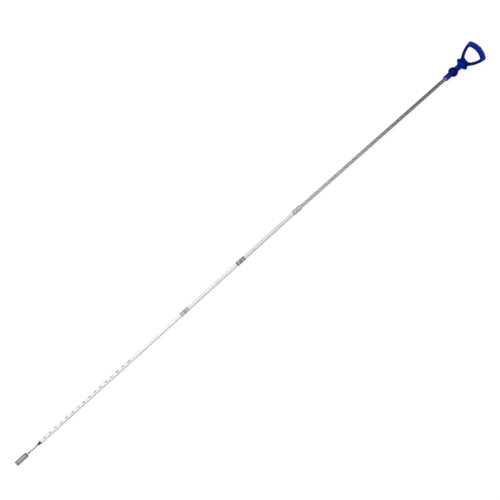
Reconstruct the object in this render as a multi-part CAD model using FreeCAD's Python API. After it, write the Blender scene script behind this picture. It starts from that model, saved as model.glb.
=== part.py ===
import FreeCAD, Part
import math
import os

from FreeCAD import Vector

# Flexible oil dipstick, lying on a level surface as it comes to rest.
# Millimetres. The shaft lies along X with its tip at the low end, and Z is up.
# The scaled half of the shaft lies on its tip weight and on the splice. From the splice
# on, the cable and the handle rise a little, because the handle's collar is thicker than
# the shaft. The shaft also bows sideways at the splice, so it stands on three points that
# are not in one line.

# Clearances
fit_gap = 0.05           # round a piece that is crimped, pressed or moulded in place
strand_gap = 0.03        # between two strands of the cable
overcut = 1.0            # how far a cutting solid runs past the faces it cuts

# Stations along the shaft, measured from the tip end as its scale reads
cone_start = 38.2
cone_end = 44.3
lower_crimp_at = 300.0
upper_crimp_at = 400.0
splice_at = 500.0
nose_at = 760.8
shaft_bow = 2.0          # how far the splice stands off the line from the tip to the collar

# Tip weight, turned steel
tip_length = 19.5
tip_radius = 3.3
tip_chamfer = 0.4
tip_bore_depth = 14.0
tip_sink_radius = 2.3
tip_sink_depth = 1.6

# Core wire and the bead crimped on it
wire_radius = 0.9
bead_start = 21.6
bead_length = 3.4
bead_radius = 1.3

# End cone, forked round the tongue of the lower sleeve
cone_tip_radius = 1.25
fork_depth = 2.7
fork_root_half = 0.3
fork_prong = 0.9

# Sleeve, a thick-walled plastic tube in three lengths
sleeve_radius = 2.42
sleeve_bore_gap = 0.1
sleeve_butt_gap = 0.4

# Crimps that join the sleeve's lengths
crimp_length = 13.2
crimp_wall = 0.5
crimp_rim_length = 1.9
crimp_press = 0.24
crimp_flats = 6

# Splice ferrule, pressed in two places
splice_length = 12.8
splice_radius = 3.5
splice_waist_radius = 3.05
splice_waist_half = 0.9
splice_chamfer = 0.45
splice_web = 1.0

# Cable of three strands, laid as a right-handed helix
strand_count = 3
strand_radius = 1.06
lay_length = 25.0
strand_corners = 7
rings_per_turn = 8

# Facets of a half-round turned rim
rim_facets = 5

# Anchor pressed on the cable's end inside the handle
anchor_start = 11.0
anchor_length = 12.0
anchor_wall = 0.5

# Handle, one moulding: plug, collar and finger loop, measured from its nose
nose_radius = 3.7
nose_chamfer = 0.5
neck_radius = 3.85
seal_centre = 14.9
seal_length = 11.0
seal_radius = 6.8
seal_end_radius = 3.8
seal_seat_radius = 3.45
collar_at = 30.4
collar_radius = 9.1
collar_band = 2.4
collar_length = 6.0
collar_shoulder_radius = 7.4
collar_flare = 1.7
loop_start = 32.0
loop_corner = 58.7
loop_crown = 4.9
loop_root_half = 5.0
loop_half_width = 16.1
loop_bow = 2.4
loop_thickness = 7.0
loop_corner_round = 4.5
limb_width = 4.3
bar_width = 7.8
bar_inner_radius = 22.0
window_start = 38.1
window_round = 2.0
loop_bevel = 2.1
gate_radius = 1.5
gate_height = 0.4

# Sizes that follow from the ones above
wire_hole_radius = wire_radius + fit_gap
sleeve_bore_radius = wire_radius + sleeve_bore_gap
sleeve_seat_radius = sleeve_radius + fit_gap
crimp_radius = sleeve_seat_radius + crimp_wall
cone_mouth_radius = sleeve_radius
fork_start = cone_end - fork_depth
lay_rise = lay_length / (2 * math.pi)
straight_lay_radius = (2 * strand_radius + strand_gap) / (2 * math.sin(math.pi / strand_count))
lay_radius = straight_lay_radius / math.sqrt(1 - (straight_lay_radius / (2 * lay_rise)) ** 2)
ring_lay_radius = lay_radius / math.cos(math.pi / rings_per_turn)
cable_radius = ring_lay_radius + strand_radius
cable_hole_radius = cable_radius + fit_gap
anchor_radius = cable_hole_radius + anchor_wall
strand_end_slope = strand_radius * ring_lay_radius / lay_rise
cable_start = splice_at + splice_web / 2 + fit_gap + strand_end_slope
cable_end = nose_at + anchor_start + anchor_length - strand_end_slope
rest_height = splice_radius


def line(start, end):
    """Straight edge between two points of the XY plane."""
    return Part.LineSegment(Vector(*start, 0), Vector(*end, 0)).toShape()


def arc(start, middle, end):
    """Round edge through three points of the XY plane."""
    return Part.Arc(Vector(*start, 0), Vector(*middle, 0), Vector(*end, 0)).toShape()


def turned(edges):
    """Solid turned about the X axis from an outline of (x, radius) edges."""
    return Part.Face(Part.Wire(edges)).revolve(Vector(), Vector(1, 0, 0), 360)


def turned_points(points):
    """Solid turned about the X axis from the corners of its outline."""
    corners = points + points[:1]
    return turned([line(a, b) for a, b in zip(corners, corners[1:])])


def rod(start, end, radius):
    """Round bar on the X axis."""
    return Part.makeCylinder(radius, end - start, Vector(start, 0, 0), Vector(1, 0, 0))


def chamfered_rod(start, end, radius, chamfer):
    """Round bar on the X axis with both end edges broken."""
    return turned_points([
        (start, 0),
        (start, radius - chamfer),
        (start + chamfer, radius),
        (end - chamfer, radius),
        (end, radius - chamfer),
        (end, 0),
    ])


def round_rim(start, end, low, high):
    """Corners of a rim that swells from the low radius to the high one and back, as half an ellipse."""
    centre, half = (start + end) / 2, (end - start) / 2
    step = math.pi / rim_facets
    swell = (high - low) / math.sin(step * (rim_facets // 2))
    angles = [step * i for i in range(rim_facets + 1)]
    return [(centre - half * math.cos(a), low + swell * math.sin(a)) for a in angles]


def slab(edges, thickness):
    """Flat plate with the outline given in the XY plane, centred on that plane."""
    face = Part.Face(Part.Wire(edges))
    face.translate(Vector(0, 0, -thickness / 2))
    return face.extrude(Vector(0, 0, thickness))


def rounded(solid, radius, chosen):
    """The solid with the edges that the test picks rounded off."""
    return solid.makeFillet(radius, [edge for edge in solid.Edges if chosen(edge)])


def bevelled(solid, width, chosen):
    """The solid with the edges that the test picks bevelled."""
    return solid.makeChamfer(width, [edge for edge in solid.Edges if chosen(edge)])


def runs_up(edge):
    """True for a straight edge along Z."""
    run = edge.lastVertex().Point - edge.firstVertex().Point
    return abs(run.z) > fit_gap and math.hypot(run.x, run.y) < fit_gap


def wedge(tip, mouth, tip_half, mouth_half):
    """Prism that opens along X, tall enough to cut right through the shaft."""
    corners = [(tip, -tip_half), (mouth, -mouth_half), (mouth, mouth_half), (tip, tip_half)]
    edges = [line(a, b) for a, b in zip(corners, corners[1:] + corners[:1])]
    return slab(edges, 2 * (sleeve_radius + overcut))


def fork_half(x):
    """Half the opening between the end cone's prongs at a station."""
    slope = (cone_mouth_radius - fork_prong - fork_root_half) / fork_depth
    return fork_root_half + slope * (x - fork_start)


# Shaft: tip weight, wire, bead and end cone

def make_tip_weight():
    body = chamfered_rod(0, tip_length, tip_radius, tip_chamfer)
    bore = rod(tip_length - tip_bore_depth, tip_length, wire_hole_radius)
    sink = Part.makeCone(0, tip_sink_radius, tip_sink_depth,
                         Vector(tip_length - tip_sink_depth, 0, 0), Vector(1, 0, 0))
    return body.cut(bore).cut(sink)


def make_core_wire():
    return rod(tip_length - tip_bore_depth + fit_gap, splice_at + splice_web / 2, wire_radius)


def make_wire_bead():
    start, end = bead_start, bead_start + bead_length
    return rod(start, end, bead_radius).cut(rod(start, end, wire_hole_radius))


def make_end_cone():
    body = turned_points([
        (cone_start, wire_hole_radius),
        (cone_start, cone_tip_radius),
        (cone_end, cone_mouth_radius),
        (cone_end, wire_hole_radius),
    ])
    mouth = cone_end + overcut
    return body.cut(wedge(fork_start, mouth, fork_root_half, fork_half(mouth)))


# Sleeve and the crimps on it

def make_sleeve(start, end):
    return rod(start, end, sleeve_radius).cut(rod(start, end, sleeve_bore_radius))


def make_lower_sleeve():
    """The scaled length. Its end is cut to a tongue that lies between the cone's prongs."""
    tongue_start = fork_start + fit_gap
    shoulder = cone_end + fit_gap
    tube = make_sleeve(tongue_start, lower_crimp_at - sleeve_butt_gap / 2)
    tongue = wedge(tongue_start, shoulder, fork_half(tongue_start) - fit_gap, fork_half(shoulder) - fit_gap)
    beyond = rod(shoulder, lower_crimp_at, sleeve_radius + overcut)
    return tube.common(tongue.fuse(beyond)).removeSplitter()


def make_crimp(centre):
    """Round collar with a smooth rim at each end, pressed to flats between the rims."""
    start, end = centre - crimp_length / 2, centre + crimp_length / 2
    ring = rod(start, end, crimp_radius)
    flat_to_flat = 2 * (crimp_radius - crimp_press)
    corner_radius = flat_to_flat / 2 / math.cos(math.pi / crimp_flats)
    corners = []
    for i in range(crimp_flats + 1):
        angle = 2 * math.pi * (i + 0.5) / crimp_flats
        corners.append(Vector(start, corner_radius * math.cos(angle), corner_radius * math.sin(angle)))
    pressed = Part.Face(Part.makePolygon(corners)).extrude(Vector(crimp_length, 0, 0))
    rims = [rod(start, start + crimp_rim_length, crimp_radius),
            rod(end - crimp_rim_length, end, crimp_radius)]
    body = ring.common(pressed.multiFuse(rims))
    return body.cut(rod(start, end, sleeve_seat_radius)).removeSplitter()


# Splice, cable and anchor

def make_splice_ferrule():
    start, end = splice_at - splice_length / 2, splice_at + splice_length / 2
    waist_start, waist_end = splice_at - splice_waist_half, splice_at + splice_waist_half
    body = turned_points([
        (start, 0),
        (start, splice_radius - splice_chamfer),
        (start + splice_chamfer, splice_radius),
        (waist_start, splice_radius),
        (waist_start, splice_waist_radius),
        (waist_end, splice_waist_radius),
        (waist_end, splice_radius),
        (end - splice_chamfer, splice_radius),
        (end, splice_radius - splice_chamfer),
        (end, 0),
    ])
    sleeve_hole = rod(start, splice_at - splice_web / 2, sleeve_seat_radius)
    wire_hole = rod(start, end, wire_hole_radius)
    return body.cut(sleeve_hole).cut(wire_hole)


def make_cable_hole():
    return rod(splice_at + splice_web / 2, cable_end, cable_hole_radius)


def make_cable_strand(index):
    """One strand: a loft through rings square to its helix.

    The rings stand out a little from the helix, so that the strand touches it halfway between them.
    """
    length = cable_end - cable_start
    steps = max(1, math.ceil(length / lay_length * rings_per_turn))
    rings = []
    for i in range(steps + 1):
        along = length * i / steps
        turn = along / lay_rise + 2 * math.pi * index / strand_count
        out = Vector(0, math.cos(turn), math.sin(turn))
        round_axis = Vector(0, -math.sin(turn), math.cos(turn))
        tangent = Vector(lay_rise, 0, 0) + round_axis * ring_lay_radius
        side = tangent.cross(out).normalize()
        centre = Vector(cable_start + along, 0, 0) + out * ring_lay_radius
        corners = []
        for k in range(strand_corners + 1):
            angle = 2 * math.pi * k / strand_corners
            corners.append(centre + (out * math.cos(angle) + side * math.sin(angle)) * strand_radius)
        rings.append(Part.makePolygon(corners))
    return Part.makeLoft(rings, True, True)


def make_cable_anchor():
    start = nose_at + anchor_start
    return rod(start, start + anchor_length, anchor_radius).cut(
        rod(start, start + anchor_length, cable_hole_radius))


# Handle and its seal, in their own frame with the nose at zero

def make_tube_seal():
    """Ball-shaped rubber seal that plugs the dipstick tube, with a flat band round its middle."""
    start, end = seal_centre - seal_length / 2, seal_centre + seal_length / 2
    ball = turned_points(round_rim(start, end, seal_end_radius, seal_radius) + [(end, 0), (start, 0)])
    return ball.cut(rod(start, end, seal_seat_radius + fit_gap))


def make_plug_and_collar():
    """Turned part of the moulding, from the nose to the collar."""
    seal_start = seal_centre - seal_length / 2 - fit_gap
    seal_end = seal_centre + seal_length / 2 + fit_gap
    collar_start = collar_at - collar_length / 2
    collar_end = collar_at + collar_length / 2
    return turned_points([
        (0, 0),
        (0, nose_radius - nose_chamfer),
        (nose_chamfer, nose_radius),
        (seal_start, nose_radius),
        (seal_start, seal_seat_radius),
        (seal_end, seal_seat_radius),
        (seal_end, neck_radius),
        (collar_start - collar_flare, neck_radius),
        (collar_start, collar_shoulder_radius),
        (collar_at - collar_band / 2, collar_radius),
        (collar_at + collar_band / 2, collar_radius),
        (collar_end, collar_shoulder_radius),
        (collar_end, 0),
    ])


def loop_outline():
    """Outer outline of the loop: a straight root, two bowed limbs and a crowned bar."""
    run = loop_corner - loop_start
    rise = loop_half_width - loop_root_half
    slant = math.hypot(run, rise)
    bow_x = (loop_start + loop_corner) / 2 - loop_bow * rise / slant
    bow_y = (loop_root_half + loop_half_width) / 2 + loop_bow * run / slant
    root_low, root_high = (loop_start, -loop_root_half), (loop_start, loop_root_half)
    corner_low, corner_high = (loop_corner, -loop_half_width), (loop_corner, loop_half_width)
    return [
        line(root_low, root_high),
        arc(root_high, (bow_x, bow_y), corner_high),
        arc(corner_high, (loop_corner + loop_crown, 0), corner_low),
        arc(corner_low, (bow_x, -bow_y), root_low),
    ]


def make_window():
    """Finger opening: the outline drawn in by the limbs' width and closed by the bar."""
    limbs = Part.Wire(loop_outline()).makeOffset2D(-limb_width)
    height = loop_thickness + 2 * overcut
    bar_inner = loop_corner + loop_crown - bar_width
    bar_side = Part.makeCylinder(
        bar_inner_radius, height, Vector(bar_inner - bar_inner_radius, 0, -height / 2))
    root_side = Part.makeBox(
        loop_corner - window_start, 2 * loop_half_width, height,
        Vector(window_start, -loop_half_width, -height / 2))
    window = slab(limbs.Edges, height).common(bar_side).common(root_side)
    return rounded(window, window_round, runs_up)


def make_loop():
    body = slab(loop_outline(), loop_thickness)
    body = rounded(body, loop_corner_round, lambda edge: (
        runs_up(edge) and edge.CenterOfMass.x > loop_start + fit_gap))
    half = loop_thickness / 2
    body = bevelled(body, loop_bevel, lambda edge: lies_at(edge, half))
    return body.cut(make_window())


def lies_at(edge, height):
    """True for an edge that runs level at a height above or below the loop's mid-plane."""
    level = edge.BoundBox.ZMax - edge.BoundBox.ZMin < fit_gap
    at_height = abs(abs(edge.CenterOfMass.z) - height) < fit_gap
    return level and at_height and edge.CenterOfMass.x > loop_start + fit_gap


def make_gate_mark():
    """Low boss left by the moulding gate in the middle of the bar."""
    crown = loop_corner + loop_crown
    return rod(crown - gate_radius, crown + gate_height, gate_radius)


def make_handle():
    body = make_plug_and_collar().fuse(make_loop()).fuse(make_gate_mark())
    cable_hole = rod(-overcut, anchor_start, cable_hole_radius)
    anchor_hole = rod(anchor_start - fit_gap, anchor_start + anchor_length + fit_gap, anchor_radius + fit_gap)
    return body.cut(cable_hole.fuse(anchor_hole)).removeSplitter()


# Assembly: all is drawn on the X axis, then laid on the surface with its bend at the splice

def bow_turn(reach):
    """Turn in plan that takes a length of the shaft from the splice back to the line between its ends."""
    return math.degrees(math.atan2(shaft_bow, reach))


def lift_angle():
    """Slope of the cable at which the near edge of the collar's widest band just meets the surface."""
    reach = nose_at + collar_at - collar_band / 2 - splice_at
    return math.degrees(
        math.atan2(collar_radius, reach) - math.asin(rest_height / math.hypot(reach, collar_radius)))


def dip_angle():
    """Slope at which the shaft comes down from the splice, so that the tip weight meets the surface."""
    return math.degrees(math.asin((rest_height - tip_radius) / (splice_at - tip_chamfer)))


def shaft_side(shape):
    """The shape on the scaled half of the shaft, turned down and then in plan about the splice."""
    laid = shape.copy()
    laid.rotate(Vector(splice_at, 0, 0), Vector(0, 1, 0), -dip_angle())
    laid.rotate(Vector(splice_at, 0, 0), Vector(0, 0, 1), bow_turn(splice_at))
    return laid


def cable_side(shape):
    """The shape on the cable's half, turned up and then in plan about the splice."""
    laid = shape.copy()
    laid.rotate(Vector(splice_at, 0, 0), Vector(0, 1, 0), -lift_angle())
    laid.rotate(Vector(splice_at, 0, 0), Vector(0, 0, 1), -bow_turn(nose_at + collar_at - splice_at))
    return laid


nose = Vector(nose_at, 0, 0)
nodes = {
    "tip_weight": shaft_side(make_tip_weight()),
    "core_wire": shaft_side(make_core_wire()),
    "wire_bead": shaft_side(make_wire_bead()),
    "end_cone": shaft_side(make_end_cone()),
    "lower_sleeve": shaft_side(make_lower_sleeve()),
    "middle_sleeve": shaft_side(
        make_sleeve(lower_crimp_at + sleeve_butt_gap / 2, upper_crimp_at - sleeve_butt_gap / 2)),
    "upper_sleeve": shaft_side(
        make_sleeve(upper_crimp_at + sleeve_butt_gap / 2, splice_at - splice_web / 2 - fit_gap)),
    "lower_crimp": shaft_side(make_crimp(lower_crimp_at)),
    "upper_crimp": shaft_side(make_crimp(upper_crimp_at)),
    "splice_ferrule": shaft_side(make_splice_ferrule()).cut(cable_side(make_cable_hole())),
    "cable_anchor": cable_side(make_cable_anchor()),
    "tube_seal": cable_side(make_tube_seal().translated(nose)),
    "handle": cable_side(make_handle().translated(nose)),
}
for index in range(strand_count):
    nodes["cable_strand_%d" % (index + 1)] = cable_side(make_cable_strand(index))

# The origin lies on the surface, under the middle of the whole part
tip_box = nodes["tip_weight"].optimalBoundingBox(False, False)
handle_box = nodes["handle"].optimalBoundingBox(False, False)
middle = Vector((tip_box.XMin + handle_box.XMax) / 2, (handle_box.YMin + handle_box.YMax) / 2, -rest_height)
os.makedirs("parts", exist_ok=True)
for name, shape in nodes.items():
    shape.translate(-middle)
    shape.exportStep("parts/%s.step" % name)
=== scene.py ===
import math
from itertools import product

import bmesh
import bpy
import numpy as np
from mathutils import Matrix, Vector


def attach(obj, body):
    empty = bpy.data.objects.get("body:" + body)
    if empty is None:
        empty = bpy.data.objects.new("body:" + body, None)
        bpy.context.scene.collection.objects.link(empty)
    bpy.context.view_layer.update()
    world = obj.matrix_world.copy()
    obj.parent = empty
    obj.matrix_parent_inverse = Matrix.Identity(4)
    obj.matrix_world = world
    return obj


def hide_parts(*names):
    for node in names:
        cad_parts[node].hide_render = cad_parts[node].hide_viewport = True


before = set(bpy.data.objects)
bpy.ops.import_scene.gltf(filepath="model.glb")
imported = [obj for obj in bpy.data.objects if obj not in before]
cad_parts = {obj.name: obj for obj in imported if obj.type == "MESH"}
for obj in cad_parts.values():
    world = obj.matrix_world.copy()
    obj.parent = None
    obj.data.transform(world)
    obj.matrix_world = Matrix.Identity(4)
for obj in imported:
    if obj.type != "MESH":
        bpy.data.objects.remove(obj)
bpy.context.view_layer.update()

# Looks of a flexible oil dipstick that lies on a pale floor, seen from straight above.
# Sizes are millimetres on the straight shaft, as its scale reads: x runs from the tip end to the
# handle, y across the finger loop and z up. Each piece's own matrix then lays it in its place.

MM = 0.001
SHARP_ANGLE = 40.0
PLAY = 0.04

# Where the shaft bends at the splice, in the row frame
SPLICE_AT = 500.0
SPLICE = Vector((87.622534, 2.177447, 3.5)) * MM
SHAFT_BOW = math.atan2(2.0, 500.0)
SHAFT_DIP = math.asin(0.2 / 499.6)
CABLE_BOW = math.atan2(2.0, 291.2)
CABLE_LIFT = math.radians(1.1061349)

# Shaft
TIP_LENGTH, TIP_RADIUS = 19.5, 3.3
WIRE_START, WIRE_RADIUS = 5.6, 0.9
BEAD_START, BEAD_END, BEAD_RADIUS = 21.6, 25.0, 1.3
BOW_START, BOW_END, BOW_DEPTH = 25.2, 37.8, 0.45
CONE_START, CONE_END = 38.2, 44.3
FORK_START, FORK_ROOT, FORK_PRONG = 41.6, 0.3, 0.9
SLEEVE_RADIUS, SLEEVE_BORE = 2.42, 1.0
LOWER_JOINT, UPPER_JOINT = 300.0, 400.0
CRIMP_HALF, CRIMP_RADIUS = 6.6, 2.97
FERRULE_HALF, FERRULE_RADIUS = 6.4, 3.5
CABLE_START, CABLE_END = 500.9, 783.4
CABLE_RADIUS, CABLE_WIRE, LAY_LENGTH = 2.41, 0.46, 25.0

# Printed scale: its numbers, how far past its own place each stands, and its angle from the top
FIGURES = range(50, 201, 10)
FIGURE_SHIFT, FIGURE_TURN = 1.0, math.radians(31)
FIGURE_HEIGHT, FIGURE_BOLD, FIGURE_STRIP = 2.15, 0.025, 0.16
INK_HALF = 0.02

# Handle, measured from its nose along its axis
NOSE_AT = 760.8
CABLE_HOLE = 2.47
ANCHOR_START, ANCHOR_END, ANCHOR_RADIUS = 11, 23, 2.97
SEAL_START, SEAL_MIDDLE, SEAL_END = 9.4, 14.9, 20.4
SEAL_BORE, SEAL_RIM, SEAL_CROWN = 3.5, 3.8, 2.9
PLUG = [  # nose, stem and collar as (x, radius)
    (-0.2, -4), (-0.2, 2.6), (0, 3.2), (0.5, 3.6), (1.2, 3.7), (9.35, 3.7), (9.35, 3.45),
    (20.45, 3.45), (20.45, 3.85), (24.6, 3.85), (25.6, 4.2), (26.4, 4.95), (27.3, 6.5), (28.0, 7.6),
    (28.8, 8.5), (29.6, 9.0), (30.2, 9.1), (30.9, 9.08), (31.7, 8.75), (32.5, 8.1), (33.3, 7.3),
    (33.8, 6.2), (33.9, -4)]
LOOP_START, LOOP_CORNER, LOOP_END = 32.0, 58.7, 63.6
LOOP_ROOT, LOOP_HALF, ARM_BOW = 5.0, 16.1, 2.4
LOOP_THICKNESS, LOOP_BEVEL, CORNER_ROUND = 7.0, 2.1, 4.5
WINDOW_START, ARM_WIDTH = 38.1, 4.3
BAR_INSIDE, BAR_CURVE = 55.8, 22.0
GATE_START, GATE_END, GATE_RADIUS = 60.0, 63.97, 1.5

# Camera over the shaft: the photograph's width and middle in metres, and its turn in degrees
VIEW_WIDTH = 0.661
VIEW_CENTRE = (0.0065, 0.0045)
VIEW_TURN = 41.91
LENS, SENSOR = 500.0, 36.0


# Places

def laid(bow, tilt):
    """Lays a piece of the straight shaft on its side of the splice."""
    return (Matrix.Translation(SPLICE) @ Matrix.Rotation(bow, 4, "Z")
            @ Matrix.Rotation(tilt, 4, "Y") @ Matrix.Translation(Vector((-SPLICE_AT * MM, 0, 0))))


SHAFT_SIDE = laid(SHAFT_BOW, -SHAFT_DIP)
CABLE_SIDE = laid(-CABLE_BOW, -CABLE_LIFT)


def linked(name, data):
    """A new object in the scene."""
    obj = bpy.data.objects.new(name, data)
    bpy.context.scene.collection.objects.link(obj)
    return obj


def placed(name, mesh, side, material, nodes=()):
    """Lays the mesh in place. Its straight coordinates stay in it, for the materials."""
    straight = np.zeros(len(mesh.vertices) * 3, np.float32)
    mesh.vertices.foreach_get("co", straight)
    kept = mesh.attributes.new("straight", "FLOAT_VECTOR", "POINT")
    kept.data.foreach_set("vector", straight)
    mesh.transform(side)
    mesh.materials.clear()
    mesh.materials.append(material)
    obj = linked(name, mesh)
    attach(obj, "root")
    if nodes:
        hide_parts(*nodes)


# Forms: (vertices, faces) in millimetres

def softened(points, radius, steps=4, closed=False):
    """The outline with its corners rounded off."""
    out = []
    last = len(points) - 1
    for i, point in enumerate(points):
        if not closed and i in (0, last):
            out.append(tuple(point))
            continue
        p = np.array(point, float)
        a = np.array(points[i - 1], float) - p
        b = np.array(points[(i + 1) % len(points)], float) - p
        la, lb = np.linalg.norm(a), np.linalg.norm(b)
        reach = min(radius, 0.45 * la, 0.45 * lb)
        start, end = p + a * reach / la, p + b * reach / lb
        for t in np.linspace(0, 1, steps + 1):
            out.append(tuple((1 - t) ** 2 * start + 2 * t * (1 - t) * p + t * t * end))
    return out


def broken_edges(start, end, hole, radius, rings):
    """A tube's closed outline, with its outer edges broken."""
    edge, inwards = radius - 0.12, 0.15
    outer = [(x, radius) for x in np.linspace(start + inwards, end - inwards, rings)]
    return [(start, hole), (start, edge)] + outer + [(end, edge), (end, hole)]


def revolved(profile, segments=96, shape=None, closed=False):
    """A turned form from (x, radius) points. shape(x, radius, angles) may press it out of round."""
    angles = np.linspace(0, 2 * math.pi, segments, endpoint=False)
    verts, rings = [], []
    for x, r in profile:
        if r < 1e-6:
            rings.append([len(verts)])
            verts.append((x, 0.0, 0.0))
            continue
        radii = shape(x, r, angles) if shape else np.full(segments, r)
        rings.append(list(range(len(verts), len(verts) + segments)))
        verts += [(x, q * math.sin(a), q * math.cos(a)) for q, a in zip(radii, angles)]
    faces = []
    for a, b in zip(rings, rings[1:] + (rings[:1] if closed else [])):
        for k in range(segments):
            n = (k + 1) % segments
            if len(a) == 1 and len(b) == 1:
                continue
            if len(a) == 1:
                faces.append((a[0], b[k], b[n]))
            elif len(b) == 1:
                faces.append((a[k], b[0], a[n]))
            else:
                faces.append((a[k], b[k], b[n], a[n]))
    return verts, faces


def helix(x, radius, turns, side=0.0):
    """Points that wind round the shaft's line, which side shifts along y."""
    return np.stack([x, side + radius * np.cos(turns), radius * np.sin(turns)], 1)


def swept(path, radius, corners=8):
    """A round wire along a path, closed at both ends."""
    tangents = np.gradient(path, axis=0)
    tangents /= np.linalg.norm(tangents, axis=1)[:, None]
    up = np.array((0.0, 0.0, 1.0))
    verts, faces = [], []
    turns = np.linspace(0, 2 * math.pi, corners, endpoint=False)
    for p, t in zip(path, tangents):
        up = up - t * np.dot(up, t)
        up /= np.linalg.norm(up)
        side = np.cross(t, up)
        verts += [tuple(p + radius * (math.cos(a) * up + math.sin(a) * side)) for a in turns]
    for i in range(len(path) - 1):
        for k in range(corners):
            n = (k + 1) % corners
            a, b = i * corners, (i + 1) * corners
            faces.append((a + k, a + n, b + n, b + k))
    faces.append(tuple(range(corners - 1, -1, -1)))
    end = (len(path) - 1) * corners
    faces.append(tuple(range(end, end + corners)))
    return verts, faces


def joined(*forms):
    """Several forms as one."""
    verts, faces = [], []
    for v, f in forms:
        base = len(verts)
        verts += list(v)
        faces += [tuple(i + base for i in face) for face in f]
    return verts, faces


def prism(corners, half=4.0):
    """An upright prism over an outline in the XY plane, taller than the shaft."""
    n = len(corners)
    verts = [(x, y, z) for z in (-half, half) for x, y in corners]
    faces = [tuple(range(n - 1, -1, -1)), tuple(range(n, 2 * n))]
    faces += [(i, (i + 1) % n, n + (i + 1) % n, n + i) for i in range(n)]
    return verts, faces


# Meshes, in metres

def shaded(mesh, sharp=SHARP_ANGLE):
    """The mesh, smooth but for edges sharper than an angle."""
    mesh.shade_smooth()
    if sharp:
        mesh.set_sharp_from_angle(angle=math.radians(sharp))
    return mesh


def mesh_of(name, form, sharp=SHARP_ANGLE):
    """The form as a mesh, its faces turned outwards."""
    verts, faces = form
    mesh = bpy.data.meshes.new(name)
    mesh.from_pydata([tuple(c * MM for c in v) for v in verts], [], faces)
    work = bmesh.new()
    work.from_mesh(mesh)
    bmesh.ops.recalc_face_normals(work, faces=work.faces)
    work.to_mesh(mesh)
    work.free()
    return shaded(mesh, sharp)


def evaluated(obj):
    """The object's mesh, with its modifiers or its font worked out."""
    bpy.context.view_layer.update()
    depsgraph = bpy.context.evaluated_depsgraph_get()
    return bpy.data.meshes.new_from_object(obj.evaluated_get(depsgraph))


def cut(mesh, *forms):
    """The mesh with forms cut out of it."""
    whole = linked("whole", mesh)
    cutters = [linked("cutter", mesh_of("cutter", form, sharp=0)) for form in forms]
    for cutter in cutters:
        modifier = whole.modifiers.new("cut", "BOOLEAN")
        modifier.operation = "DIFFERENCE"
        modifier.solver = "EXACT"
        modifier.object = cutter
    made = evaluated(whole)
    for used in [whole] + cutters:
        bpy.data.objects.remove(used)
    return shaded(made)


# Materials

class Nodes:
    """A node tree, with short ways to add nodes and to join them."""

    def __init__(self, tree):
        self.tree = tree

    def node(self, kind, **settings):
        made = self.tree.nodes.new(kind)
        for key, value in settings.items():
            setattr(made, key, value)
        return made

    def put(self, socket, value):
        """Links the socket to another, or sets its own value."""
        if isinstance(value, bpy.types.NodeSocket):
            self.tree.links.new(value, socket)
        else:
            socket.default_value = value

    def calc(self, operation, a, b=0.0, clamp=False):
        made = self.node("ShaderNodeMath", operation=operation, use_clamp=clamp)
        self.put(made.inputs[0], a)
        self.put(made.inputs[1], b)
        return made.outputs[0]

    def times(self, a, b):
        return self.calc("MULTIPLY", a, b)

    def larger(self, a, b):
        return self.calc("MAXIMUM", a, b)

    def split(self, vector):
        """The vector's x, y and z."""
        made = self.node("ShaderNodeSeparateXYZ")
        self.put(made.inputs[0], vector)
        return made.outputs


class Finish(Nodes):
    """A material's nodes, with the few kinds that the finishes here need."""

    def __init__(self, name, **sockets):
        self.material = bpy.data.materials.new(name)
        self.material.use_nodes = True
        super().__init__(self.material.node_tree)
        self.shader = self.tree.nodes["Principled BSDF"]
        for socket, value in sockets.items():
            self.shader.inputs[socket.replace("_", " ")].default_value = value
        self.place = self.node("ShaderNodeAttribute", attribute_name="straight").outputs["Vector"]
        self.x, self.y = self.split(self.place)[:2]

    def fade(self, value, start, end, low=0.0, high=1.0):
        """Smoothly from low at start to high at end."""
        made = self.node("ShaderNodeMapRange", interpolation_type="SMOOTHSTEP")
        for socket, v in zip(("Value", "From Min", "From Max", "To Min", "To Max"),
                             (value, start, end, low, high)):
            self.put(made.inputs[socket], v)
        return made.outputs[0]

    def fade_mm(self, value, start, end, low=0.0, high=1.0):
        """The same along a length, with start and end in millimetres."""
        return self.fade(value, start * MM, end * MM, low, high)

    def band(self, value, start, end, soft):
        """One between start and end, zero outside, in millimetres."""
        rise = self.fade_mm(value, start - soft, start + soft)
        fall = self.fade_mm(value, end - soft, end + soft, 1.0, 0.0)
        return self.times(rise, fall)

    def noise(self, size, detail=4.0, rough=0.5, stretch=(1, 1, 1)):
        """Noise with features about as large as size, in millimetres."""
        mapping = self.node("ShaderNodeMapping")
        self.put(mapping.inputs["Vector"], self.place)
        self.put(mapping.inputs["Scale"], stretch)
        made = self.node("ShaderNodeTexNoise")
        for socket, v in zip(("Vector", "Scale", "Detail", "Roughness"),
                             (mapping.outputs[0], 1 / (size * MM), detail, rough)):
            self.put(made.inputs[socket], v)
        return made.outputs["Fac"]

    def mix(self, amount, a, b):
        """Colour a, and b by amount."""
        made = self.node("ShaderNodeMix", data_type="RGBA")
        for socket, v in zip((0, 6, 7), (amount, a, b)):
            self.put(made.inputs[socket], v)
        return made.outputs[2]

    def attribute(self, name):
        return self.node("ShaderNodeAttribute", attribute_name=name).outputs["Fac"]

    def sideways(self):
        """How far the surface faces to the side, from zero to one."""
        normal = self.node("ShaderNodeNewGeometry").outputs["Normal"]
        return self.calc("ABSOLUTE", self.split(normal)[1])

    def bump(self, height, depth, under=None):
        """Depth in millimetres of the whole range of height."""
        made = self.node("ShaderNodeBump")
        self.put(made.inputs["Distance"], depth * MM)
        self.put(made.inputs["Height"], height)
        if under:
            self.put(made.inputs["Normal"], under)
        return made.outputs[0]

    def finish(self, colour, rough, normal):
        for socket, v in zip(("Base Color", "Roughness", "Normal"), (colour, rough, normal)):
            self.put(self.shader.inputs[socket], v)
        return self.material


def grey(level, warm=0.0):
    return (level * (1 + warm), level, level * (1 - warm), 1.0)


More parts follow.
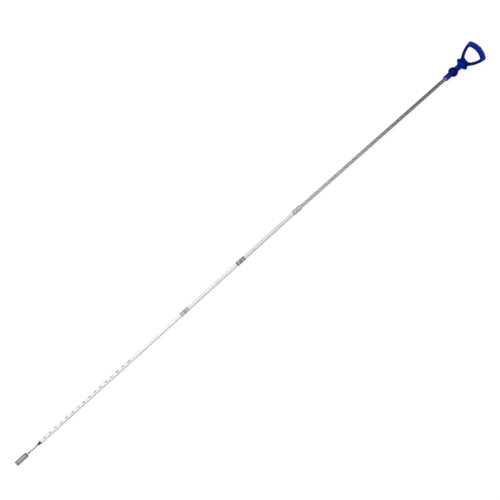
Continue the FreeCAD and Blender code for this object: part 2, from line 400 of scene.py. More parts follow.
def steel(name, bright, dark, radius, mottle=0.5, edge=0.5, lean=0.0, rough=0.34,
          bands=(), dulled=None):
    """Bare steel with fine turning marks. Oxide makes it dark: mottled all over, in bands (start,
    end, amount) and along it (dulled). Painted shade darkens it along both sides (edge), and more
    on one of them (lean)."""
    f = Finish(name, Metallic=1.0)
    patches = f.fade(f.noise(1.1, 6, 0.6), 0.42, 0.66, 0.0, mottle)
    # painted shade: darker along both sides of the piece (edge)
    aside = f.calc("ABSOLUTE", f.calc("ADD", f.y, 0.2 * radius * MM))
    sides = f.fade_mm(aside, 0.4 * radius, 0.95 * radius, 0.0, edge)
    painted_edge_shade = f.times(sides, f.fade(f.noise(0.8, 4, 0.6, (0.5, 1, 1)), 0.3, 0.6, 0.45, 1.0))
    oxide_and_shade = f.larger(patches, painted_edge_shade)
    # painted shade: darker still on one side (lean)
    painted_lean_shade = f.fade_mm(f.y, -0.8 * radius, 0.9 * radius, 0.0, lean)
    oxide_and_shade = f.calc("ADD", oxide_and_shade, painted_lean_shade, clamp=True)
    uneven = f.fade(f.noise(0.7, 5, 0.6), 0.3, 0.55, 0.5, 1.0)
    for start, end, amount in bands:
        ring = f.times(f.band(f.x, start, end, 0.25 + 0.2 * (end - start)), amount)
        oxide_and_shade = f.larger(oxide_and_shade, f.times(ring, uneven))
    if dulled:
        start, end, amount = dulled
        oxide_and_shade = f.calc("ADD", oxide_and_shade, f.fade_mm(f.x, start, end, 0.0, amount), clamp=True)
    colour = f.mix(oxide_and_shade, grey(bright, 0.012), grey(dark, 0.03))
    lines = f.noise(0.16, 2, 0.5, (1, 0.03, 0.03))
    pits = f.noise(0.35, 5, 0.65)
    pitted = f.fade(pits, 0.3, 0.7, rough - 0.07, rough + 0.08)
    roughness = f.calc("ADD", f.times(oxide_and_shade, 0.28), pitted)
    return f.finish(colour, roughness, f.bump(pits, 0.03, f.bump(lines, 0.02)))


def sleeve_plastic(name, level, shade, painted_side_shades):
    """White extruded tube: slightly waxy, with faint handling marks, painted shade as a grey streak
    along each side, and painted shade in the joint with the end cone."""
    f = Finish(name, Specular_IOR_Level=0.3)
    cloud = f.fade(f.noise(22, 4, 0.55, (0.35, 1, 1)), 0.4, 0.75, 0.0, 0.4)
    marks = f.fade(f.noise(0.9, 5, 0.7, (0.25, 1, 1)), 0.62, 0.76, 0.0, 0.35)
    colour = f.mix(f.larger(cloud, marks), grey(level, 0.004), grey(level * shade, 0.012))
    # painted shade: grey in the joint with the end cone, and as a streak along each side
    painted_shade = f.fade_mm(f.x, CONE_END + 0.7, CONE_END - 1.2, 0.0, 0.9)
    for side, amount in zip((-SLEEVE_RADIUS, SLEEVE_RADIUS), painted_side_shades):
        painted_shade = f.larger(painted_shade, f.fade_mm(f.y, 0.5 * side, 0.95 * side, 0.0, amount))
    colour = f.mix(painted_shade, colour, grey(0.16, 0.01))
    draw_lines = f.noise(0.22, 3, 0.5, (0.02, 1, 1))
    roughness = f.fade(f.noise(3.0, 4, 0.6), 0.3, 0.7, 0.32, 0.5)
    waves = f.bump(f.noise(1.6, 4, 0.5, (0.3, 1, 1)), 0.02)
    return f.finish(colour, roughness, f.bump(draw_lines, 0.02, waves))


def handle_plastic():
    """Blue moulded plastic: fine spark texture, scuffed edges and a matt bevel round the bar, with
    painted light on the collar's flare and the nose, painted shade on the arms and sideways faces,
    a painted slate reflection on the bevel and a painted highlight at the nose's end.
    """
    f = Finish("handle_blue", Specular_IOR_Level=0.04)
    patches = f.fade(f.noise(6.0, 3, 0.55), 0.3, 0.72)
    base = f.mix(patches, (0.0005, 0.009, 0.21, 1), (0.001, 0.016, 0.3, 1))

    # painted light: clear blue where the collar flares, and on the nose's side away from the key
    # light
    painted_flare_light = f.times(f.band(f.x, NOSE_AT + 25.0, NOSE_AT + 29.5, 1.0),
                    f.fade_mm(f.calc("ABSOLUTE", f.y), 4.0, 2.0))
    base = f.mix(painted_flare_light, base, (0.001, 0.018, 0.45, 1))
    painted_nose_light = f.times(f.fade_mm(f.x, NOSE_AT + 11.5, NOSE_AT + 8.5),
                  f.fade_mm(f.y, 1.4, 0.2, 0.0, 0.9))
    base = f.mix(painted_nose_light, base, (0.001, 0.009, 0.52, 1))

    # painted shade: dark arms, and darker wherever the surface faces sideways
    painted_arm_shade = f.times(f.band(f.x, NOSE_AT + 35.5, NOSE_AT + 53.0, 1.5),
                   f.fade(f.noise(2.6, 3, 0.55), 0.3, 0.6, 0.85, 0.35))
    base = f.mix(painted_arm_shade, base, (0.001, 0.006, 0.07, 1))
    painted_shade = f.times(f.fade(f.sideways(), 0.25, 0.8),
                    f.fade(f.noise(1.8, 4, 0.6), 0.25, 0.6, 0.7, 0.97))
    base = f.mix(painted_shade, base, (0.0008, 0.002, 0.03, 1))

    # a painted reflection in slate on the bevel, worn edges, and a painted highlight at the nose's
    # end
    # painted reflection: slate on the bevel round the bar
    bevel = f.times(f.attribute("bevel"), f.fade(f.noise(1.4, 4, 0.6), 0.3, 0.6, 0.55, 0.9))
    base = f.mix(bevel, base, (0.022, 0.055, 0.24, 1))
    scuffs = f.times(f.attribute("wear"), f.fade(f.noise(0.7, 5, 0.65), 0.4, 0.62, 0.0, 0.5))
    base = f.mix(scuffs, base, (0.04, 0.07, 0.34, 1))
    # painted highlight: pale at the nose's end
    off_middle = f.calc("ABSOLUTE", f.calc("ADD", f.y, 0.4 * MM))
    nose = f.times(f.fade_mm(f.x, NOSE_AT + 4.2, NOSE_AT + 1.4),
                   f.fade_mm(off_middle, 2.6, 1.0, 0.0, 0.9))
    base = f.mix(nose, base, (0.19, 0.19, 0.58, 1))

    grain = f.noise(0.28, 4, 0.6)
    roughness = f.calc("ADD", f.fade(grain, 0.3, 0.7, 0.27, 0.4), f.times(bevel, 0.15))
    return f.finish(base, roughness, f.bump(grain, 0.035, f.bump(f.noise(3.5, 3, 0.5), 0.12)))


def seal_rubber():
    """Dark blue rubber: matt, with a painted sheen as a paler band round the middle, lighter blue
    towards the nose, and painted shade where it faces sideways.
    """
    f = Finish("seal_blue_rubber", Specular_IOR_Level=0.06)
    # painted sheen: a paler band round the middle
    middle = f.band(f.x, NOSE_AT + 14.3, NOSE_AT + 16.0, 0.7)
    painted_sheen = f.times(middle, f.fade(f.noise(1.2, 4, 0.6), 0.35, 0.65, 0.45, 0.95))
    base = f.mix(f.noise(2.5, 4, 0.55), (0.001, 0.003, 0.07, 1), (0.002, 0.007, 0.16, 1))
    # lighter blue at the end towards the nose
    lighter_towards_nose = f.fade_mm(f.x, NOSE_AT + 13.4, NOSE_AT + 11.4, 0.0, 0.9)
    base = f.mix(lighter_towards_nose, base, (0.003, 0.012, 0.32, 1))
    base = f.mix(painted_sheen, base, (0.017, 0.024, 0.25, 1))
    # painted shade where the seal faces sideways
    base = f.mix(f.fade(f.sideways(), 0.2, 0.7, 0.0, 0.97), base, (0.0004, 0.0008, 0.008, 1))
    grain = f.noise(0.22, 4, 0.6)
    roughness = f.fade(grain, 0.3, 0.7, 0.36, 0.56)
    rings = f.bump(f.noise(0.5, 3, 0.5, (1, 0.1, 0.1)), 0.02)
    return f.finish(base, roughness, f.bump(grain, 0.03, rings))


def cone_plastic():
    """Black plastic, a little greyed in patches."""
    f = Finish("cone_black", Specular_IOR_Level=0.3)
    colour = f.mix(f.fade(f.noise(0.6, 5, 0.6), 0.4, 0.7), grey(0.008), grey(0.035))
    grain = f.noise(0.18, 4, 0.6)
    return f.finish(colour, f.fade(grain, 0.3, 0.7, 0.35, 0.55), f.bump(grain, 0.03))


def print_ink():
    """Printed figures, thin and a little worn."""
    f = Finish("print_grey_ink", Specular_IOR_Level=0.2)
    colour = f.mix(f.fade(f.noise(0.35, 5, 0.65), 0.5, 0.75), grey(0.1), grey(0.28))
    roughness = f.fade(f.noise(0.5, 3, 0.5), 0.3, 0.7, 0.5, 0.7)
    return f.finish(colour, roughness, f.bump(f.noise(0.15, 3, 0.5), 0.01))


# edge and lean are painted shade along the sides; mottle, bands and dulled are oxide
TIP_STEEL = steel(
    "tip_steel_mottled", 0.43, 0.07, TIP_RADIUS, mottle=0.6, edge=0.65, lean=0.12, rough=0.42,
    bands=((-0.4, 0.7, 0.8), (0.9, 3.6, 0.5), (17.4, 18.9, 0.85)))
WIRE_STEEL = steel("wire_steel_bright", 0.4, 0.14, WIRE_RADIUS, mottle=0.35, edge=0.1)
BEAD_STEEL = steel("bead_steel_dull", 0.36, 0.12, BEAD_RADIUS, mottle=0.5, edge=0.2)
LOWER_CRIMP_STEEL = steel(
    "crimp_steel_pale", 0.8, 0.26, CRIMP_RADIUS, mottle=0.35, edge=0.35, lean=0.34, rough=0.6,
    bands=((293.3, 294.6, 0.7), (298.7, 303.0, 0.62), (305.4, 306.7, 0.6)))
UPPER_CRIMP_STEEL = steel(
    "crimp_steel_dark_rims", 0.54, 0.03, CRIMP_RADIUS, mottle=0.45, edge=0.35, lean=0.15,
    rough=0.54, bands=((393.2, 394.7, 1.0), (398.2, 402.2, 0.5), (405.3, 406.8, 1.0)))
FERRULE_STEEL = steel(
    "ferrule_steel", 0.68, 0.3, FERRULE_RADIUS, mottle=0.3, edge=0.45, lean=0.15, rough=0.6,
    bands=((493.4, 494.2, 0.75), (499.0, 501.0, 0.4), (505.8, 506.6, 0.5)))
CABLE_STEEL = steel(
    "cable_steel", 0.75, 0.085, 2.4, mottle=0.25, edge=0.25, lean=0.22, rough=0.42,
    dulled=(500.0, 765.0, 0.5))
ANCHOR_STEEL = steel("anchor_steel", 0.45, 0.12, 2.8)
# the last pair is painted shade along the -y and the +y side
WHITE_SLEEVE = sleeve_plastic("sleeve_white", 0.96, 0.88, painted_side_shades=(0.34, 0.0))
DUSTY_SLEEVE = sleeve_plastic("sleeve_white_dusty", 0.88, 0.84, painted_side_shades=(0.3, 0.1))
GREY_SLEEVE = sleeve_plastic("sleeve_grey_white", 0.78, 0.8, painted_side_shades=(0.22, 0.3))
HANDLE_BLUE = handle_plastic()
SEAL_RUBBER = seal_rubber()
CONE_BLACK = cone_plastic()
INK = print_ink()


# Tip weight, bead and end cone

def make_tip_weight():
    """A turned weight with a groove near its upper end, bored and countersunk for the wire."""
    bore, bottom, mouth = WIRE_RADIUS + 0.06, 5.5, 2.3
    groove = TIP_RADIUS - 0.14
    outline = softened([
        (0, 0), (0, TIP_RADIUS - 0.3), (0.3, TIP_RADIUS),
        (17.6, TIP_RADIUS), (17.75, groove), (18.45, groove), (18.6, TIP_RADIUS),
        (TIP_LENGTH - 0.35, TIP_RADIUS), (TIP_LENGTH, TIP_RADIUS - 0.35),
        (TIP_LENGTH, mouth), (TIP_LENGTH - 1.6, bore), (bottom, bore), (bottom, 0),
    ], 0.14)
    mesh = mesh_of("tip_weight_turned", revolved(outline, 128))
    placed("tip_weight_turned", mesh, SHAFT_SIDE, TIP_STEEL, ["tip_weight"])


def wire_wave(x):
    """The bare stretch of wire bows a little to one side."""
    along = np.clip((x - BOW_START) / (BOW_END - BOW_START), 0, 1)
    return -BOW_DEPTH * np.sin(math.pi * along) ** 2


def make_core_wire():
    """A twist of seven fine wires, plain where the sleeve hides it."""
    fine, lay, step, twist_to, plain_from = WIRE_RADIUS / 3, 9.5, 0.45, 48.01, 47.5
    x = np.arange(WIRE_START, twist_to, step)
    wave = wire_wave(x)
    forms = []
    for k in range(6):
        turns = 2 * math.pi * (x / lay + k / 6)
        forms.append(swept(helix(x, 2 * fine, turns, wave), fine))
    forms.append(swept(helix(x, 0.0, 0 * x, wave), fine))
    forms.append(revolved([(plain_from, 0), (plain_from, WIRE_RADIUS),
                           (SPLICE_AT, WIRE_RADIUS), (SPLICE_AT, 0)], 24))
    mesh = mesh_of("core_wire_twisted", joined(*forms), sharp=60)
    placed("core_wire_twisted", mesh, SHAFT_SIDE, WIRE_STEEL, ["core_wire"])


def make_wire_bead():
    """A bead pressed on from four sides."""
    hole, rim = WIRE_RADIUS + PLAY, BEAD_RADIUS - 0.12
    middle = (BEAD_START + BEAD_END) / 2
    pressed_from, dent, dent_reach = 1.1, 0.12, 0.75

    def pressed(x, r, angles):
        if r < pressed_from:
            return np.full(len(angles), r)
        along = math.exp(-((x - middle) / dent_reach) ** 2)
        return r - dent * along * np.cos(2 * angles) ** 2

    outer = [(x, BEAD_RADIUS) for x in np.linspace(BEAD_START + 0.15, BEAD_END - 0.15, 14)]
    outline = (softened([(BEAD_START, hole), (BEAD_START, rim)], 0.05) + outer
               + softened([(BEAD_END, rim), (BEAD_END, hole)], 0.05))
    mesh = mesh_of("wire_bead_pressed", revolved(outline, 64, pressed, closed=True))
    placed("wire_bead_pressed", mesh, SHAFT_SIDE, BEAD_STEEL, ["wire_bead"])


def fork_half(x):
    """Half the width of the end cone's mouth."""
    slope = (SLEEVE_RADIUS - FORK_PRONG - FORK_ROOT) / (CONE_END - FORK_START)
    return FORK_ROOT + slope * (x - FORK_START)


def make_end_cone():
    hole, nose = WIRE_RADIUS + PLAY, 1.25
    outline = softened([(CONE_START, hole), (CONE_START, nose), (CONE_END, SLEEVE_RADIUS),
                        (CONE_END, hole)], 0.12, closed=True)
    mouth = CONE_END + 1
    fork = prism([(FORK_START, -fork_half(FORK_START)), (mouth, -fork_half(mouth)),
                  (mouth, fork_half(mouth)), (FORK_START, fork_half(FORK_START))])
    mesh = cut(mesh_of("end_cone_forked", revolved(outline, 128, closed=True)), fork)
    placed("end_cone_forked", mesh, SHAFT_SIDE, CONE_BLACK, ["end_cone"])


# Sleeve: three lengths of tube, the first with its tongue and scale

def tube(start, end, step=6.0):
    rings = max(2, round((end - start) / step))
    return revolved(broken_edges(start, end, SLEEVE_BORE, SLEEVE_RADIUS, rings), closed=True)


def make_sleeves():
    gap, beside, apart = 0.05, 4, 0.2
    start, shoulder = FORK_START + gap, CONE_END + gap
    near, far = fork_half(start) - gap, fork_half(shoulder) - gap
    sides = [prism([(start - 1, side * near), (start, side * near), (shoulder, side * far),
                    (shoulder, side * beside), (start - 1, side * beside)]) for side in (-1, 1)]
    mesh = cut(mesh_of("lower_sleeve_tube", tube(start, LOWER_JOINT - apart)), *sides)
    placed("lower_sleeve_tube", mesh, SHAFT_SIDE, WHITE_SLEEVE, ["lower_sleeve"])
    for name, a, b, finish, node in (
            ("middle_sleeve_tube", LOWER_JOINT + apart, UPPER_JOINT - apart, DUSTY_SLEEVE,
             "middle_sleeve"),
            ("upper_sleeve_tube", UPPER_JOINT + apart, 499.45, GREY_SLEEVE, "upper_sleeve")):
        placed(name, mesh_of(name, tube(a, b)), SHAFT_SIDE, finish, [node])


def figure(text):
    """A printed number as a closed sheet of ink, in strips that can bend round the tube."""
    curve = bpy.data.curves.new("figure", "FONT")
    curve.body = text
    curve.size = FIGURE_HEIGHT / 0.7
    curve.offset = FIGURE_BOLD * curve.size
    curve.extrude = INK_HALF
    curve.align_x, curve.align_y = "CENTER", "CENTER"
    curve.space_character = 1.02
    obj = linked("figure", curve)
    mesh = evaluated(obj)
    bpy.data.objects.remove(obj)
    work = bmesh.new()
    work.from_mesh(mesh)
    bmesh.ops.remove_doubles(work, verts=work.verts, dist=1e-5)
    for level in np.arange(-FIGURE_HEIGHT, FIGURE_HEIGHT, FIGURE_STRIP):
        parts = work.verts[:] + work.edges[:] + work.faces[:]
        bmesh.ops.bisect_plane(work, geom=parts, dist=1e-4,
                               plane_co=(0, level, 0), plane_no=(0, 1, 0))
    bmesh.ops.triangulate(work, faces=work.faces)
    work.verts.index_update()
    verts = np.array([v.co[:] for v in work.verts])
    faces = [tuple(v.index for v in face.verts) for face in work.faces]
    work.free()
    return verts, faces


def make_figures():
    """Numbers every 10 mm, printed in a row on the round tube."""
    forms = []
    radius = SLEEVE_RADIUS + 0.012
    for value in FIGURES:
        verts, faces = figure(str(value))
        middle = (verts.max(0) + verts.min(0)) / 2
        x = value + FIGURE_SHIFT + (verts[:, 0] - middle[0])
        angle = FIGURE_TURN + (verts[:, 1] - middle[1]) / radius
        reach = radius - INK_HALF + verts[:, 2]
        bent = np.stack([x, reach * np.sin(angle), reach * np.cos(angle)], 1)
        forms.append((bent.tolist(), faces))
    mesh = mesh_of("scale_figures", joined(*forms))
    placed("scale_figures", mesh, SHAFT_SIDE, INK)


# Crimps and splice ferrule

def make_crimp(name, centre, node, finish):
    """Round rims, and between them six flats pressed by the tool, with soft shoulders."""
    flats, rim, shoulder = 6, 1.7, 0.5
    pressed_from, sunk, dent, dent_power = CRIMP_RADIUS - 0.3, 0.06, 0.2, 1.6

    def pressed(x, r, angles):
        if r < pressed_from:
            return np.full(len(angles), r)
        along = np.clip((CRIMP_HALF - rim - abs(x - centre)) / shoulder, 0, 1)
        wave = np.abs(np.mod(angles * flats / (2 * math.pi) + 0.5, 1) - 0.5) * 2
        return r - along * (sunk + dent * (1 - wave ** dent_power))

    outline = broken_edges(centre - CRIMP_HALF, centre + CRIMP_HALF, SLEEVE_RADIUS + PLAY,
                           CRIMP_RADIUS, 54)
    mesh = mesh_of(name, revolved(outline, 144, pressed, closed=True))
    placed(name, mesh, SHAFT_SIDE, finish, [node])


def make_ferrule():
    """Two pressed lobes with a waist between them, and a lip at each end."""
    pressed_from, lobe_off, lobe_reach, dent, flats = 2.7, 3.4, 1.1, 0.1, 8

    def pressed(x, r, angles):
        if r < pressed_from:
            return np.full(len(angles), r)
        lobe = max(math.exp(-((x - SPLICE_AT - side * lobe_off) / lobe_reach) ** 4)
                   for side in (-1, 1))
        return r - dent * lobe * (0.5 + 0.5 * np.cos(flats * angles))

    start, end = SPLICE_AT - FERRULE_HALF, SPLICE_AT + FERRULE_HALF
    sleeve_hole, cable_hole, waist, web = SLEEVE_RADIUS + PLAY, 2.53, 3.05, 0.5
    # distance from the end, and depth below the top
    lobe = [(0, 0.15), (0.7, 0.1), (1.0, 0.3), (1.4, 0.02), (3.2, 0), (5.2, 0.02)]
    outline = [(start, sleeve_hole)]
    outline += [(start + x, FERRULE_RADIUS - depth) for x, depth in lobe]
    outline += [(SPLICE_AT - 0.8, waist), (SPLICE_AT + 0.8, waist)]
    outline += [(end - x, FERRULE_RADIUS - depth) for x, depth in reversed(lobe)]
    outline += [(end, cable_hole), (SPLICE_AT + web, cable_hole), (SPLICE_AT + web, sleeve_hole)]
    form = revolved(softened(outline, 0.3, closed=True), 144, pressed, closed=True)
    placed("splice_ferrule_pressed", mesh_of("splice_ferrule_pressed", form), SHAFT_SIDE,
           FERRULE_STEEL, ["splice_ferrule"])


# Cable: three strands, drawn so tight together that the cable is nearly round

def make_cable():
    """Each strand has four wires outside, with a groove to the next strand, and two inside. The
    first also has the wire on the axis."""
    rise = LAY_LENGTH / (2 * math.pi)
    outer, inner, step = CABLE_RADIUS - CABLE_WIRE, 1.0, 0.7
    x = np.arange(CABLE_START, CABLE_END, step)
    for index in range(3):
        wires = [(outer, degrees) for degrees in (-41, -14, 14, 41)] + [(inner, -30), (inner, 30)]
        if index == 0:
            wires.append((0, 0))
        forms = []
        for radius, degrees in wires:
            turns = (x - CABLE_START) / rise + math.radians(120 * index + degrees)
            forms.append(swept(helix(x, radius, turns), CABLE_WIRE, 10))
        name = "cable_strand_wires_%d" % (index + 1)
        placed(name, mesh_of(name, joined(*forms), sharp=75), CABLE_SIDE, CABLE_STEEL,
               ["cable_strand_%d" % (index + 1)])


# Handle: a distance field on a grid, turned into one smooth mesh

def polygon_distance(px, py, points):
    """Signed distance from each point to a closed outline, negative inside."""
    a = np.asarray(points, float)
    b = np.roll(a, -1, 0)
    best = np.full(px.shape, 1e9)
    inside = np.zeros(px.shape, bool)
    for (ax, ay), (bx, by) in zip(a, b):
        ex, ey = bx - ax, by - ay
        wx, wy = px - ax, py - ay
        t = np.clip((wx * ex + wy * ey) / (ex * ex + ey * ey + 1e-12), 0, 1)
        best = np.minimum(best, (wx - ex * t) ** 2 + (wy - ey * t) ** 2)
        if ay != by:
            inside ^= ((ay > py) != (by > py)) & (px < ex * (py - ay) / (by - ay) + ax)
    return np.where(inside, -1, 1) * np.sqrt(best)


def arc_points(start, middle, end, count=60):
    """Points on the circle through three points."""
    (ax, ay), (bx, by), (cx, cy) = start, middle, end
    d = 2 * (ax * (by - cy) + bx * (cy - ay) + cx * (ay - by))
    a2, b2, c2 = ax * ax + ay * ay, bx * bx + by * by, cx * cx + cy * cy
    ux = (a2 * (by - cy) + b2 * (cy - ay) + c2 * (ay - by)) / d
    uy = (a2 * (cx - bx) + b2 * (ax - cx) + c2 * (bx - ax)) / d
    radius = math.hypot(ax - ux, ay - uy)
    first = math.atan2(ay - uy, ax - ux)
    sweep, through = ((math.atan2(y - uy, x - ux) - first + math.pi) % (2 * math.pi) - math.pi
                      for x, y in (end, middle))
    if sweep * through < 0:
        sweep -= math.copysign(2 * math.pi, sweep)
    turns = first + sweep * np.linspace(0, 1, count)
    return np.stack([ux + radius * np.cos(turns), uy + radius * np.sin(turns)], 1)


def inset(points, distance):
    """The outline drawn in by a distance, without the stretches that would cross."""
    p = np.asarray(points, float)
    t = np.roll(p, -1, 0) - np.roll(p, 1, 0)
    t /= np.linalg.norm(t, axis=1)[:, None]
    moved = p + np.stack([t[:, 1], -t[:, 0]], 1) * distance
    depth = polygon_distance(moved[:, 0], moved[:, 1], p)
    return moved[depth < -distance * 0.985]


def blend_max(a, b, soft):
    """The larger of two fields. Where they are closer than soft, their edge is rounded off."""
    return np.maximum(a, b) + np.maximum(soft - np.abs(a - b), 0) ** 2 / (4 * soft)


def blend_min(a, b, soft):
    return -blend_max(-a, -b, soft)


def surface_of(field, origin, step):
    """Zero level of a sampled field: one vertex in each cell that it crosses, and one quad on each
    crossed edge, facing outwards."""
    cells = tuple(n - 1 for n in field.shape)
    corners = {at: field[tuple(slice(a, a + n) for a, n in zip(at, cells))]
               for at in product((0, 1), repeat=3)}
    total, count = np.zeros(cells + (3,)), np.zeros(cells)
    for at, low in corners.items():
        for axis in range(3):
            if at[axis]:
                continue
            high = corners[at[:axis] + (1,) + at[axis + 1:]]
            crossed = (low < 0) != (high < 0)
            t = np.where(crossed, low / np.where(crossed, low - high, 1), 0)
            for n in range(3):
                total[..., n] += crossed * (t if n == axis else at[n])
            count += crossed
    used = count > 0
    number = np.full(cells, -1)
    number[used] = np.arange(used.sum())
    spots = np.argwhere(used) + total[used] / count[used][:, None]
    faces = []
    for axis in range(3):
        one, two = (axis + 1) % 3, (axis + 2) % 3
        low = np.take(field, range(field.shape[axis] - 1), axis)
        high = np.take(field, range(1, field.shape[axis]), axis)
        at = np.argwhere((low < 0) != (high < 0))
        keep = (at[:, one] > 0) & (at[:, two] > 0)
        keep &= (at[:, one] < cells[one]) & (at[:, two] < cells[two])
        at = at[keep]
        quad = []
        for da, db in ((0, 0), (-1, 0), (-1, -1), (0, -1)):
            shifted = at.copy()
            shifted[:, one] += da
            shifted[:, two] += db
            quad.append(number[tuple(shifted.T)])
        quad = np.stack(quad, 1)
        flip = low[tuple(at.T)] >= 0
        quad[flip] = quad[flip][:, ::-1]
        faces.append(quad)
    return spots * step + origin, np.concatenate(faces)


def sampled(field, spots, origin, step):
    """The field's value at each spot."""
    p = (spots - origin) / step
    base = np.clip(np.floor(p).astype(int), 0, np.array(field.shape) - 2)
    part = p - base
    value = 0
    for corner in product((0, 1), repeat=3):
        weight = np.prod(np.where(corner, part, 1 - part), axis=1)
        value = value + weight * field[tuple((base + corner).T)]
    return value


def loop_outline():
    """The loop's outer outline: an arm, the bar and the other arm, each an arc."""
    run, rise = LOOP_CORNER - LOOP_START, LOOP_HALF - LOOP_ROOT
    slant = math.hypot(run, rise)
    x = (LOOP_START + LOOP_CORNER) / 2 - ARM_BOW * rise / slant
    y = (LOOP_ROOT + LOOP_HALF) / 2 + ARM_BOW * run / slant
    upper = arc_points((LOOP_START, LOOP_ROOT), (x, y), (LOOP_CORNER, LOOP_HALF))
    bar = arc_points((LOOP_CORNER, LOOP_HALF), (LOOP_END, 0), (LOOP_CORNER, -LOOP_HALF))
    lower = arc_points((LOOP_CORNER, -LOOP_HALF), (x, -y), (LOOP_START, -LOOP_ROOT))
    return np.concatenate([upper, bar[1:-1], lower])


def handle_field(x, y, z):
    """Signed distance to the handle on the grid, and one along the loop's bevel, zero elsewhere."""
    off_axis = np.sqrt(y[:, None] ** 2 + z[None, :] ** 2)

    # nose, stem and collar, read off one turned section
    reach, steps = 24, 240
    radii = np.linspace(0, reach, steps + 1)
    section = polygon_distance(*np.meshgrid(x, radii, indexing="ij"), PLUG)
    place = off_axis / (reach / steps)
    low = np.clip(place.astype(int), 0, steps - 1)
    part = np.clip(place - low, 0, 1)
    turned = section[:, low] * (1 - part) + section[:, low + 1] * part

    # the loop's outline, whose two outer corners are rounded by a circle that touches both sides
    px, py = np.meshgrid(x, y, indexing="ij")
    outline = loop_outline()
    outer = polygon_distance(px, py, outline)
    rounded = polygon_distance(px, py, inset(outline, CORNER_ROUND)) - CORNER_ROUND
    bar = np.hypot(px - (BAR_INSIDE - BAR_CURVE), py) - BAR_CURVE
    window = blend_max(blend_max(outer + ARM_WIDTH, bar, 2.2), WINDOW_START - px, 3.0)

    # the loop, bevelled all round
    corners_from = 45
    edge = np.where(px > corners_from, rounded, outer)[:, :, None]
    flat = np.abs(z)[None, None, :] - LOOP_THICKNESS / 2
    bevel = edge + flat + LOOP_BEVEL
    along = px[:, :, None]
    loop = blend_max(blend_max(edge, flat, 0.5), bevel / math.sqrt(2), 0.5)
    loop = blend_max(loop, -window[:, :, None], 1.2)
    loop = blend_max(loop, LOOP_START - along, 0.2)

    # the mark of the moulding gate on the bar, and the hole for the cable
    gate = np.maximum(off_axis[None] - GATE_RADIUS, GATE_START - along)
    gate = blend_max(gate, along - GATE_END, 0.3)
    hole = np.maximum(off_axis[None] - CABLE_HOLE, along - ANCHOR_START)
    whole = blend_min(blend_min(turned, loop, 1.6), gate, 0.25)
    return blend_max(whole, -hole, 0.35), np.clip(1 - np.abs(bevel), 0, 1)


def make_handle():
    """The field's surface, drawn onto its zero level, with what the wear and the bevel reach."""
    step = 0.36
    origin, end = np.array((-0.9, -17.1, -9.9)), (65.0, 17.4, 10.2)
    x, y, z = (np.arange(o, e, step) for o, e in zip(origin, end))
    field, bevel_zone = handle_field(x, y, z)
    spots, faces = surface_of(field, origin, step)
    slopes = np.stack(np.gradient(field, step), -1)
    for _ in range(4):
        slope = np.stack([sampled(slopes[..., n], spots, origin, step) for n in range(3)], 1)
        size = np.maximum((slope ** 2).sum(1), 0.1)
        spots = spots - slope * (sampled(field, spots, origin, step) / size)[:, None]
    bend = sum(np.gradient(slopes[..., n], step, axis=n) for n in range(3))
    worn_from, worn_over, bar_from, bar_over = 0.35, 0.9, 50, 4
    wear = np.clip((sampled(bend, spots, origin, step) - worn_from) / worn_over, 0, 1)
    on_bar = np.clip((spots[:, 0] - bar_from) / bar_over, 0, 1)
    bevel = sampled(bevel_zone, spots, origin, step) * on_bar
    mesh = bpy.data.meshes.new("handle_moulded")
    mesh.from_pydata(((spots + (NOSE_AT, 0, 0)) * MM).tolist(), [], faces.tolist())
    mesh.shade_smooth()
    for name, values in (("wear", wear), ("bevel", bevel)):
        kept = mesh.attributes.new(name, "FLOAT", "POINT")
        kept.data.foreach_set("value", values.astype(np.float32))
    placed("handle_moulded", mesh, CABLE_SIDE, HANDLE_BLUE, ["handle"])


def make_seal():
    """Ball-shaped rubber seal with the mould's parting ridge round its middle."""
    ridge_height, ridge_reach, lean, fullness = 0.1, 0.22, 0.93, 0.82
    outline = [(NOSE_AT + SEAL_START, SEAL_BORE)]
    for t in np.linspace(0, 1, 41):
        x = SEAL_START + (SEAL_END - SEAL_START) * t
        ridge = ridge_height * math.exp(-((x - SEAL_MIDDLE) / ridge_reach) ** 2)
        ball = SEAL_RIM + SEAL_CROWN * max(math.sin(math.pi * t ** lean), 0) ** fullness
        outline.append((NOSE_AT + x, ball + ridge))
    outline.append((NOSE_AT + SEAL_END, SEAL_BORE))
    mesh = mesh_of("tube_seal_ball", revolved(outline, 128, closed=True))
    placed("tube_seal_ball", mesh, CABLE_SIDE, SEAL_RUBBER, ["tube_seal"])


def make_anchor():
    """The pressed sleeve on the cable's end, inside the handle."""
    start, end = NOSE_AT + ANCHOR_START, NOSE_AT + ANCHOR_END
    outline = softened([(start, CABLE_HOLE), (start, ANCHOR_RADIUS), (end, ANCHOR_RADIUS),
                        (end, CABLE_HOLE)], 0.15, closed=True)
    mesh = mesh_of("cable_anchor_pressed", revolved(outline, 64, closed=True))
    placed("cable_anchor_pressed", mesh, CABLE_SIDE, ANCHOR_STEEL,
           ["cable_anchor"])


make_tip_weight()
make_core_wire()
make_wire_bead()
make_end_cone()
make_sleeves()
make_figures()
make_crimp("lower_crimp_pressed", LOWER_JOINT, "lower_crimp", LOWER_CRIMP_STEEL)
make_crimp("upper_crimp_pressed", UPPER_JOINT, "upper_crimp", UPPER_CRIMP_STEEL)
make_ferrule()
make_cable()
make_handle()
make_seal()
make_anchor()


# Floor, light and camera, in metres

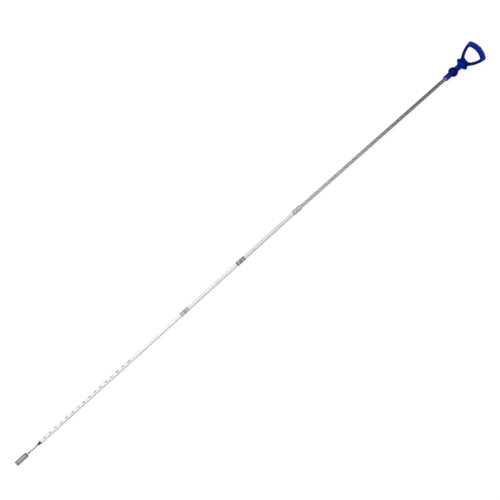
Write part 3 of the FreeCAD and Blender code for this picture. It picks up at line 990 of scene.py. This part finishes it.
def make_floor():
    """White for the camera and for reflections, and still shaded by the object."""
    half, shade, glow_level = 6, 0.18, 0.87
    mesh = bpy.data.meshes.new("floor")
    mesh.from_pydata([(-half, -half, 0), (half, -half, 0), (half, half, 0), (-half, half, 0)],
                     [], [(0, 1, 2, 3)])
    floor = linked("floor", mesh)
    material = bpy.data.materials.new("floor_white")
    material.use_nodes = True
    material.node_tree.nodes.clear()
    n = Nodes(material.node_tree)
    rays = n.node("ShaderNodeLightPath").outputs
    seen = rays["Is Camera Ray"]
    for ray in ("Is Glossy Ray", "Is Transmission Ray"):
        seen = n.larger(seen, rays[ray])
    plain = n.node("ShaderNodeBsdfDiffuse")
    n.put(plain.inputs["Color"], (shade, shade, shade, 1))
    glow = n.node("ShaderNodeEmission")
    n.put(glow.inputs["Color"], (1, 1, 1, 1))
    n.put(glow.inputs["Strength"], n.times(seen, glow_level))
    both = n.node("ShaderNodeAddShader")
    n.put(both.inputs[0], plain.outputs[0])
    n.put(both.inputs[1], glow.outputs[0])
    output = n.node("ShaderNodeOutputMaterial")
    n.put(output.inputs["Surface"], both.outputs[0])
    mesh.materials.append(material)


def make_light():
    """A grey studio, paler overhead, with a broad key light and a broad fill."""
    world = bpy.data.worlds.new("studio")
    bpy.context.scene.world = world
    world.use_nodes = True
    n = Nodes(world.node_tree)
    back = n.tree.nodes["Background"]
    height = n.split(n.node("ShaderNodeTexCoord").outputs["Generated"])["Z"]
    ramp = n.node("ShaderNodeValToRGB")
    for element, level in zip(ramp.color_ramp.elements, (0.12, 0.42)):
        element.color = (level, level, level, 1)
    n.put(ramp.inputs[0], height)
    n.put(back.inputs["Color"], ramp.outputs[0])
    n.put(back.inputs["Strength"], 1.0)
    spread = math.radians(60)
    for name, strength, tilt, turn in (("key", 1.9, 36, -15), ("fill", 0.55, 35, 165)):
        lamp = bpy.data.lights.new(name, "SUN")
        lamp.energy = strength
        lamp.angle = spread
        tilt, turn = math.radians(tilt), math.radians(turn)
        towards = Vector((math.sin(tilt) * math.sin(turn), math.sin(tilt) * math.cos(turn),
                          math.cos(tilt)))
        turned = Vector((0, 0, 1)).rotation_difference(towards)
        linked(name, lamp).rotation_euler = turned.to_euler()


def make_camera():
    """Straight above the shaft, and turned as the photograph is."""
    data = bpy.data.cameras.new("camera")
    data.lens = LENS
    data.sensor_width = SENSOR
    data.clip_end = 50
    camera = linked("camera", data)
    camera.location = (*VIEW_CENTRE, VIEW_WIDTH * LENS / SENSOR)
    camera.rotation_euler = (0, 0, -math.radians(VIEW_TURN))
    bpy.context.scene.camera = camera


make_floor()
make_light()
make_camera()
bpy.context.scene.view_settings.view_transform = "Standard"
